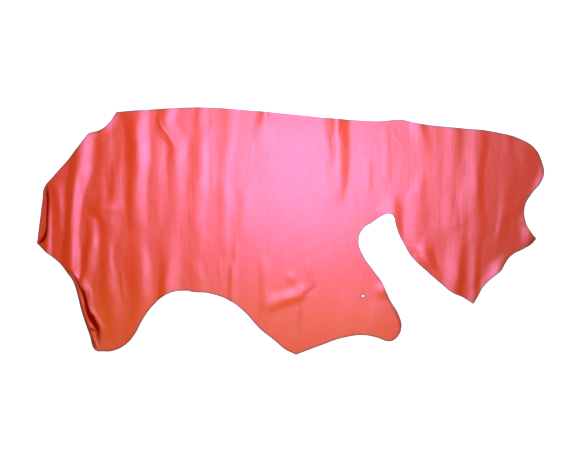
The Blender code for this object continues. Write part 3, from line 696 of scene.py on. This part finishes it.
class StageSettings(bpy.types.PropertyGroup):
    """The camera, the lamps and the floor."""

    camera_place: FloatVectorProperty(
        name="Camera place", description="Place of the camera, which looks straight down",
        subtype="TRANSLATION", unit="LENGTH", size=3, default=(-0.02475, 0.0135, 5.0),
    )
    frame_width: FloatProperty(
        name="Frame width", description="Width of floor that the picture takes in",
        subtype="DISTANCE", unit="LENGTH", default=2.565,
    )
    lamp_place: FloatVectorProperty(
        name="Lamp place", description="Place of the main lamp, which shines straight down",
        subtype="TRANSLATION", unit="LENGTH", size=3, default=(0.11, 0.48, 2.5),
    )
    lamp_size: FloatProperty(
        name="Lamp size", description="Width of the main lamp's round diffuser",
        subtype="DISTANCE", unit="LENGTH", default=1.3,
    )
    lamp_power: FloatProperty(
        name="Lamp power", description="Power of the main lamp",
        subtype="POWER", unit="POWER", default=88.0,
    )
    room_light: FloatProperty(
        name="Room light", description="Strength of the light that comes from low down all round",
        default=0.9,
    )
    floor_size: FloatProperty(
        name="Floor size", description="Side of the square floor",
        subtype="DISTANCE", unit="LENGTH", default=12.0,
    )
    floor_colour: FloatVectorProperty(
        name="Floor", description="Colour of the floor",
        subtype="COLOR", size=4, min=0, max=1, default=linear("#FFFFFF"),
    )
    floor_glow: FloatProperty(
        name="Floor glow",
        description="Light that the floor adds, so that it is plain white away from the lamp",
        default=0.45,
    )


def add_node(tree, kind, inputs=None, **settings):
    """Adds a node with its settings. Each input takes a value, or the socket that feeds it."""
    node = tree.nodes.new(kind)
    for name, value in settings.items():
        setattr(node, name, value)
    for name, value in (inputs or {}).items():
        if isinstance(value, bpy.types.NodeSocket):
            tree.links.new(value, node.inputs[name])
        else:
            node.inputs[name].default_value = value
    return node


def new_material(name):
    """An empty material, and its node tree."""
    material = bpy.data.materials.new(name)
    material.use_nodes = True
    material.node_tree.nodes.clear()
    return material, material.node_tree


def finish_material(tree, shader):
    """Gives the shader to the material's output."""
    add_node(tree, "ShaderNodeOutputMaterial", {"Surface": shader.outputs[0]})


def between(tree, share, first, second, **kind):
    """A colour mixed from the first to the second by the share, which is a socket."""
    mixed = add_node(tree, "ShaderNodeMix", data_type="RGBA", **kind)
    for socket, value in ((mixed.inputs[0], share), (mixed.inputs[6], first), (mixed.inputs[7], second)):
        if isinstance(value, bpy.types.NodeSocket):
            tree.links.new(value, socket)
        else:
            socket.default_value = value
    return mixed.outputs[2]


def ramp(tree, value, start, end, low=0.0, high=1.0):
    """A value that goes smoothly from low to high while the socket's value goes from start to end."""
    return add_node(tree, "ShaderNodeMapRange", {
        "Value": value, "From Min": start, "From Max": end, "To Min": low, "To Max": high,
    }, interpolation_type="SMOOTHSTEP").outputs["Result"]


def waves(tree, place, across, along, detail=2.0):
    """Noise whose grains are across wide and along long."""
    stretched = add_node(tree, "ShaderNodeVectorMath", {
        0: place, 1: (1 / across, 1 / along, 1 / across),
    }, operation="MULTIPLY")
    return add_node(tree, "ShaderNodeTexNoise", {
        "Vector": stretched.outputs["Vector"], "Scale": 1.0, "Detail": detail, "Roughness": 0.5,
    }).outputs["Fac"]


def dimmed(colour, share):
    """The given share of a colour."""
    return tuple(share * part for part in colour[:3]) + (1.0,)


def dyed_red_and_painted_shade(tree, settings, place, axes, in_painted_shade):
    """The colour of the grain: cloudy, more orange towards the belly, with painted shade darkening the neck
    and the nips, and a cut edge darkened by wear and by painted shade.
    """
    clouds = add_node(tree, "ShaderNodeTexNoise", {
        "Vector": place, "Scale": 1 / (DYE_CLOUDS * MM), "Detail": 3.0, "Roughness": 0.55,
    })
    at_belly = ramp(tree, axes.outputs["Y"], *(end * MM for end in BELLY_TONE))
    at_neck = ramp(tree, axes.outputs["X"], *(end * MM for end in NECK_SHADE))
    from_edge = add_node(tree, "ShaderNodeAttribute", attribute_name="from_edge").outputs["Fac"]
    # Darker at the cut edge: partly the worn finish, partly painted shade for the edge's shadow.
    wear_and_shade = ramp(tree, from_edge, *(end * MM for end in WEAR_AND_SHADE_BAND), WEAR_AND_SHADE_SHARE, 0.0)
    colour = between(tree, clouds.outputs["Fac"], settings.grain_red, settings.grain_deep_red)
    colour = between(tree, at_belly, colour, settings.belly_red)
    # Darker towards the neck: painted shade for the lamp's light falling off.
    colour = between(tree, at_neck, colour, settings.neck_shaded_red)
    # Darker in the nips: painted shade.
    colour = between(tree, in_painted_shade, colour, settings.nip_painted_shade_red)
    return between(tree, wear_and_shade, colour, settings.worn_and_shaded_brown)


def pearl_tint_and_painted_shade(tree, settings, place, axes, in_painted_shade):
    """The tint of the light that the pearl throws back: thinner in clouds, and weaker towards the belly and
    faint in nips, both of which are painted shade.
    """
    clouds = ramp(tree, waves(tree, place, *(size * MM for size in PEARL_CLOUDS), 4.0), 0.35, 0.65)
    above_belly = add_node(tree, "ShaderNodeMath", {
        0: axes.outputs["X"], 1: PEARL_PAINTED_SHADE_SLANT, 2: axes.outputs["Y"],
    }, operation="MULTIPLY_ADD").outputs[0]
    # Weaker towards the belly: painted shade for the lamp's sheen falling off there.
    at_belly = ramp(tree, above_belly, *(end * MM for end in PEARL_PAINTED_SHADE))
    tint = between(tree, clouds, settings.pearl, dimmed(settings.pearl, CLOUD_PEARL_SHARE))
    tint = between(tree, at_belly, tint, dimmed(settings.pearl, BELLY_PEARL_SHADE_SHARE))
    # Faint in the nips: painted shade.
    return between(tree, in_painted_shade, tint, settings.nip_painted_shade_pearl)


def grain_relief(tree, settings, place, slack):
    """The relief of the grain: drawn-out streaks, slack patches, and the pebbles that the plating left."""
    streaks = add_node(tree, "ShaderNodeBump", {
        "Height": waves(tree, place, *(size * MM for size in GRAIN_STREAKS), 3.0),
        "Strength": 1.0, "Distance": STREAK_DEPTH * MM,
    })
    patches = add_node(tree, "ShaderNodeBump", {
        "Height": slack, "Strength": 0.35, "Distance": 0.8 * MM, "Normal": streaks.outputs["Normal"],
    })
    pebbles = add_node(tree, "ShaderNodeTexVoronoi", {
        "Vector": place, "Scale": 1 / settings.grain_size, "Randomness": 1.0,
    }, feature="SMOOTH_F1")
    return add_node(tree, "ShaderNodeBump", {
        "Height": pebbles.outputs["Distance"], "Strength": 0.25, "Distance": 0.12 * MM,
        "Normal": patches.outputs["Normal"],
    }).outputs["Normal"]


def pearl_grain(settings):
    """Cattle leather, drum-dyed red, plated nearly smooth and sprayed with a pearl pigment in clear lacquer.

    The pigment is mica coated with titania, so it throws back far more light than plain lacquer does, and
    tints it pink to violet. Where a ripple faces the lamp the leather turns pink, and where it faces away it
    is deep red.
    """
    material, tree = new_material("pearl-finished cattle leather")
    place = add_node(tree, "ShaderNodeTexCoord").outputs["Object"]
    axes = add_node(tree, "ShaderNodeSeparateXYZ", {"Vector": place})
    # Painted shade in the nips: the grain turns darker there, and its lacquer and pearl throw back less
    # light.
    in_painted_shade = add_node(tree, "ShaderNodeAttribute", attribute_name="painted_nip_shade").outputs["Fac"]
    out_of_painted_shade = add_node(tree, "ShaderNodeMath", {0: 1.0, 1: in_painted_shade}, operation="SUBTRACT").outputs[0]
    lacquer_dimmed_by_painted_shade = add_node(tree, "ShaderNodeMath", {0: 0.75, 1: out_of_painted_shade}, operation="MULTIPLY").outputs[0]
    slack = add_node(tree, "ShaderNodeTexNoise", {
        "Vector": place, "Scale": 1 / (SLACK_PATCHES * MM), "Detail": 2.0, "Roughness": 0.5,
    }).outputs["Fac"]
    gloss = add_node(tree, "ShaderNodeMapRange", {
        "Value": slack, "From Min": 0.3, "From Max": 0.7, "To Min": 0.31, "To Max": 0.36,
    }).outputs["Result"]
    relief = grain_relief(tree, settings, place, slack)
    shader = add_node(tree, "ShaderNodeBsdfPrincipled", {
        "Base Color": dyed_red_and_painted_shade(tree, settings, place, axes, in_painted_shade), "Roughness": gloss, "IOR": 1.5,
        "Specular IOR Level": 0.5, "Specular Tint": pearl_tint_and_painted_shade(tree, settings, place, axes, in_painted_shade),
        "Coat Weight": lacquer_dimmed_by_painted_shade, "Coat Roughness": 0.45, "Coat IOR": 1.5,
        "Normal": relief, "Coat Normal": relief,
    })
    finish_material(tree, shader)
    return material


def suede_flesh(settings):
    """The flesh side, split and buffed to a short nap: dull, a little paler than the grain, with no pearl."""
    material, tree = new_material("suede flesh side")
    place = add_node(tree, "ShaderNodeTexCoord").outputs["Object"]
    nap = add_node(tree, "ShaderNodeTexNoise", {
        "Vector": place, "Scale": 1 / (2.5 * MM), "Detail": 4.0, "Roughness": 0.7,
    })
    bump = add_node(tree, "ShaderNodeBump", {
        "Height": nap.outputs["Fac"], "Strength": 0.5, "Distance": 0.4 * MM,
    })
    shader = add_node(tree, "ShaderNodeBsdfPrincipled", {
        "Base Color": settings.flesh_red, "Roughness": 0.95, "Specular IOR Level": 0.2,
        "Sheen Weight": 0.3, "Normal": bump.outputs["Normal"],
    })
    finish_material(tree, shader)
    return material


def cut_fibres(settings):
    """The knife-cut edge, where the loose fibres under the finish show: matt and darker than either face."""
    material, tree = new_material("knife-cut leather edge")
    place = add_node(tree, "ShaderNodeTexCoord").outputs["Object"]
    fibres = add_node(tree, "ShaderNodeTexNoise", {
        "Vector": place, "Scale": 1 / (1.2 * MM), "Detail": 3.0, "Roughness": 0.7,
    })
    bump = add_node(tree, "ShaderNodeBump", {
        "Height": fibres.outputs["Fac"], "Strength": 0.5, "Distance": 0.2 * MM,
    })
    shader = add_node(tree, "ShaderNodeBsdfPrincipled", {
        "Base Color": settings.edge_red, "Roughness": 0.9, "Specular IOR Level": 0.2,
        "Normal": bump.outputs["Normal"],
    })
    finish_material(tree, shader)
    return material


def painted_floor(settings):
    """A floor under matt white paint, without pattern, lit until the eye sees it as plain white all over."""
    material, tree = new_material("matt white paint")
    shader = add_node(tree, "ShaderNodeBsdfPrincipled", {
        "Base Color": settings.floor_colour, "Roughness": 0.9, "Specular IOR Level": 0.2,
        "Emission Color": settings.floor_colour, "Emission Strength": settings.floor_glow,
    })
    finish_material(tree, shader)
    return material


def through(keys, values, at):
    """The smooth curve through the values at the keys, read at each of at, and level past its ends."""
    order = np.argsort(keys)
    keys = np.array(keys, float)[order]
    values = np.array(values, float)[order]
    slopes = np.gradient(values, keys)
    slopes[0] = slopes[-1] = 0.0
    at = np.clip(at, keys[0], keys[-1])
    left = np.clip(np.searchsorted(keys, at) - 1, 0, len(keys) - 2)
    step = keys[left + 1] - keys[left]
    share = (at - keys[left]) / step
    rest = 1 - share
    ends = values[left] * rest**2 * (1 + 2 * share) + values[left + 1] * share**2 * (1 + 2 * rest)
    return ends + step * share * rest * (slopes[left] * rest - slopes[left + 1] * share)


def fold_height(fold, x, y):
    """How far one fold lifts the sheet at each point: a soft ridge, level along its crest and its feet."""
    along, across = (y, x) if fold.runs == "down" else (x, y)
    at, crest, height, before, after = zip(*(Section(*section) for section in fold.sections))
    off_crest = across - through(at, crest, along)
    reach = np.where(off_crest < 0, through(at, before, along), through(at, after, along))
    rounded = np.cos(np.pi / 2 * np.clip(off_crest / reach, -1, 1))
    tucked_in = (fold.foot == SHARP_BEFORE) & (off_crest < 0)
    return np.maximum(through(at, height, along), 0) * np.where(tucked_in, rounded, rounded**2)


def nipped(x, y):
    """How deep the nips press the sheet down at each point, and how much shade they paint on it, from 0 to 1.
    """
    depths = np.zeros(len(x))
    shades = np.zeros(len(x))
    for nip in NIPS:
        along, across = (y, x) if nip.runs == "down" else (x, y)
        at, middle, width, depth, shade = zip(*(NipSection(*section) for section in nip.sections))
        off_middle = (across - through(at, middle, along)) / through(at, width, along)
        trough = np.cos(np.pi / 2 * np.clip(off_middle, -1, 1)) ** 2
        trough *= (along > min(at)) & (along < max(at))
        depths = np.maximum(depths, through(at, depth, along) * trough)
        shades = np.maximum(shades, through(at, shade, along) * trough)
    return depths, np.minimum(shades, 1)


def slackness(x, y):
    """Low hummocks and long streaks, where the hide doesn't lie quite level."""
    lift = np.zeros(len(x))
    for height, across, along in (HUMMOCKS, STREAKS):
        places = zip(x / across, y / along)
        # The height also picks the layer of the noise, so that the two don't repeat each other.
        lift += height / 2 * (1 + np.array([noise((at_x, at_y, height)) for at_x, at_y in places]))
    return lift


def sheet_height(x, y):
    """The height of the hide's underside over the surface that it lies on."""
    raised = sum(fold_height(fold, x, y) for fold in FOLDS + WRINKLES) + slackness(x, y)
    return np.maximum(raised - nipped(x, y)[0], 0)


def outline_points():
    """Points along the outline, EDGE_PITCH apart or less, with its box centred on the origin."""
    curve = bpy.data.curves.new("hide outline", "CURVE")
    curve.dimensions = "2D"
    spline = curve.splines.new("BEZIER")
    spline.bezier_points.add(len(OUTLINE) - 1)
    spline.use_cyclic_u = True
    for point, key in zip(spline.bezier_points, OUTLINE):
        point.co = (key.x, key.y, 0)
    for point, key in zip(spline.bezier_points, OUTLINE):
        point.handle_left_type = point.handle_right_type = key.turn
    knots = list(spline.bezier_points)
    points = []
    for first, second in zip(knots, knots[1:] + knots[:1]):
        steps = max(2, round((second.co - first.co).length / EDGE_PITCH) + 1)
        stretch = interpolate_bezier(first.co, first.handle_right, second.handle_left, second.co, steps)
        points += [point.to_2d() for point in stretch[:-1]]
    bpy.data.curves.remove(curve)
    points = np.array(points)
    return points - (points.min(axis=0) + points.max(axis=0)) / 2


def hole_points():
    """Points round the hole's edge."""
    turns = np.arange(HOLE_CORNERS) * 2 * np.pi / HOLE_CORNERS
    radius = HOLE_RADIUS * (1 + HOLE_PULL * np.cos(4 * turns))
    return np.column_stack((HOLE_X + radius * np.cos(turns), HOLE_Y + radius * np.sin(turns)))


def in_zone(zone, points):
    """Which of the points lie in the zone."""
    x, y = points.T
    return (x > zone.left) & (x < zone.right) & (y > zone.low) & (y < zone.high)


def to_nearest(points, places):
    """How far each point lies from the nearest of the places."""
    tree = KDTree(len(places))
    for number, (x, y) in enumerate(places):
        tree.insert((x, y, 0), number)
    tree.balance()
    return np.array([tree.find((x, y, 0))[2] for x, y in points])


def inner_points(edge):
    """The sheet's points inside its edge: a grid for each zone, clear of the edge and of later zones."""
    kept = []
    for number, zone in enumerate(ZONES):
        x = np.arange(zone.left, zone.right, zone.across)
        y = np.arange(zone.low, zone.high, zone.along)
        grid = np.stack(np.meshgrid(x, y), axis=-1).reshape(-1, 2).astype(float)
        for later in ZONES[number + 1 :]:
            grid = grid[~in_zone(later, grid)]
        kept.append(grid[to_nearest(grid, edge) > CLEAR_OF_EDGE * zone.across])
    return np.concatenate(kept)


def to_cut_edge(points, loops):
    """How far inside the cut edge each point lies."""
    finer = []
    for loop in loops:
        for share in np.arange(0, 1, EDGE_SHARE):
            finer.append(loop * (1 - share) + np.roll(loop, -1, axis=0) * share)
    return to_nearest(points, np.concatenate(finer))


def flat_sheet():
    """The points and triangles of the sheet, flat, inside the outline and around the hole."""
    outline = outline_points()
    hole = hole_points()
    edge = np.concatenate((outline, hole))
    loops = [(i, (i + 1) % len(outline)) for i in range(len(outline))]
    loops += [(len(outline) + i, len(outline) + (i + 1) % len(hole)) for i in range(len(hole))]
    points = np.concatenate((edge, inner_points(edge)))
    inside_loops = 1
    made = delaunay_2d_cdt([Vector(point) for point in points], loops, [], inside_loops, SAME_PLACE)
    points = np.array([tuple(point) for point in made[0]])
    triangles = np.array(made[2])
    to_hole = np.linalg.norm(points[triangles].mean(axis=1) - (HOLE_X, HOLE_Y), axis=1)
    triangles = triangles[to_hole > HOLE_RADIUS * (1 - HOLE_PULL)]
    used, triangles = np.unique(triangles, return_inverse=True)
    points = points[used]
    return points, triangles.reshape(-1, 3), to_cut_edge(points, (outline, hole))


class LEATHER_OT_lay_hide(bpy.types.Operator):
    """Lay the hide out in its ripples, grain side up"""

    bl_idname = "leather.lay_hide"
    bl_label = "Lay hide"

    def execute(self, context):
        settings = context.scene.leather_hide
        points, triangles, from_edge = flat_sheet()
        x, y = points.T
        raised = np.column_stack((x, y, sheet_height(x, y))) * MM
        mesh = bpy.data.meshes.new("grain sheet")
        mesh.from_pydata(raised.tolist(), [], triangles.tolist())
        for material in (pearl_grain(settings), suede_flesh(settings), cut_fibres(settings)):
            mesh.materials.append(material)
        mesh.shade_smooth()
        # The cut edge is sharp, so the grain isn't shaded round it.
        faces_at = np.bincount([corner.edge_index for corner in mesh.loops], minlength=len(mesh.edges))
        mesh.attributes.new("sharp_edge", "BOOLEAN", "EDGE").data.foreach_set("value", faces_at == 1)
        # The nips' painted shade is kept on the points, beside the distance from the cut edge.
        for name, values in (("from_edge", from_edge * MM), ("painted_nip_shade", nipped(x, y)[1])):
            mesh.attributes.new(name, "FLOAT", "POINT").data.foreach_set("value", values)
        sheet = bpy.data.objects.new("grain_sheet", mesh)
        context.scene.collection.objects.link(sheet)
        body = sheet.modifiers.new("thickness", "SOLIDIFY")
        body.thickness = THICKNESS * MM
        body.offset = 1
        body.use_even_offset = True
        body.material_offset = 1
        body.material_offset_rim = 2
        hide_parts("hide")
        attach(sheet, "root")
        return {"FINISHED"}


class LEATHER_OT_set_stage(bpy.types.Operator):
    """Set up the floor, the lamps and the camera"""

    bl_idname = "leather.set_stage"
    bl_label = "Set stage"

    def execute(self, context):
        settings = context.scene.leather_stage
        self.lay_floor(context, settings)
        self.hang_lamps(context, settings)
        self.set_camera(context, settings)
        context.scene.view_settings.view_transform = "Standard"
        return {"FINISHED"}

    def lay_floor(self, context, settings):
        mesh = bpy.data.meshes.new("floor")
        half = settings.floor_size / 2
        corners = [(-half, -half, 0), (half, -half, 0), (half, half, 0), (-half, half, 0)]
        mesh.from_pydata(corners, [], [(0, 1, 2, 3)])
        mesh.materials.append(painted_floor(settings))
        floor = bpy.data.objects.new("floor", mesh)
        context.scene.collection.objects.link(floor)

    def hang_lamps(self, context, settings):
        light = bpy.data.lights.new("main softbox", "AREA")
        light.shape = "DISK"
        light.size = settings.lamp_size
        light.energy = settings.lamp_power
        lamp = bpy.data.objects.new("main softbox", light)
        lamp.location = settings.lamp_place
        context.scene.collection.objects.link(lamp)
        world = bpy.data.worlds.new("room")
        world.use_nodes = True
        context.scene.world = world
        tree = world.node_tree
        tree.nodes.clear()
        way = add_node(tree, "ShaderNodeTexCoord").outputs["Generated"]
        up = add_node(tree, "ShaderNodeSeparateXYZ", {"Vector": way}).outputs["Z"]
        strength = ramp(tree, up, *ROOM_LIGHT_FADES, settings.room_light, 0.0)
        light_round = add_node(tree, "ShaderNodeBackground", {"Color": (1, 1, 1, 1), "Strength": strength})
        add_node(tree, "ShaderNodeOutputWorld", {"Surface": light_round.outputs[0]})

    def set_camera(self, context, settings):
        camera = bpy.data.cameras.new("camera")
        camera.sensor_width = 36.0
        camera.lens = camera.sensor_width * settings.camera_place[2] / settings.frame_width
        view = bpy.data.objects.new("camera", camera)
        view.location = settings.camera_place
        context.scene.collection.objects.link(view)
        context.scene.camera = view


class LEATHER_PT_hide(bpy.types.Panel):
    """Sizes, colours and steps of the leather hide"""

    bl_label = "Leather hide"
    bl_idname = "LEATHER_PT_hide"
    bl_space_type = "VIEW_3D"
    bl_region_type = "UI"
    bl_category = "Leather"

    def draw(self, context):
        for settings, operator in (
            (context.scene.leather_hide, LEATHER_OT_lay_hide),
            (context.scene.leather_stage, LEATHER_OT_set_stage),
        ):
            box = self.layout.box()
            for name in settings.__annotations__:
                box.prop(settings, name)
            box.operator(operator.bl_idname)


CLASSES = (HideSettings, StageSettings, LEATHER_OT_lay_hide, LEATHER_OT_set_stage, LEATHER_PT_hide)


def register():
    for each in CLASSES:
        bpy.utils.register_class(each)
    bpy.types.Scene.leather_hide = PointerProperty(type=HideSettings)
    bpy.types.Scene.leather_stage = PointerProperty(type=StageSettings)


def unregister():
    del bpy.types.Scene.leather_stage
    del bpy.types.Scene.leather_hide
    for each in reversed(CLASSES):
        bpy.utils.unregister_class(each)


def main():
    register()
    bpy.ops.leather.lay_hide()
    bpy.ops.leather.set_stage()


if __name__ == "__main__":
    main()
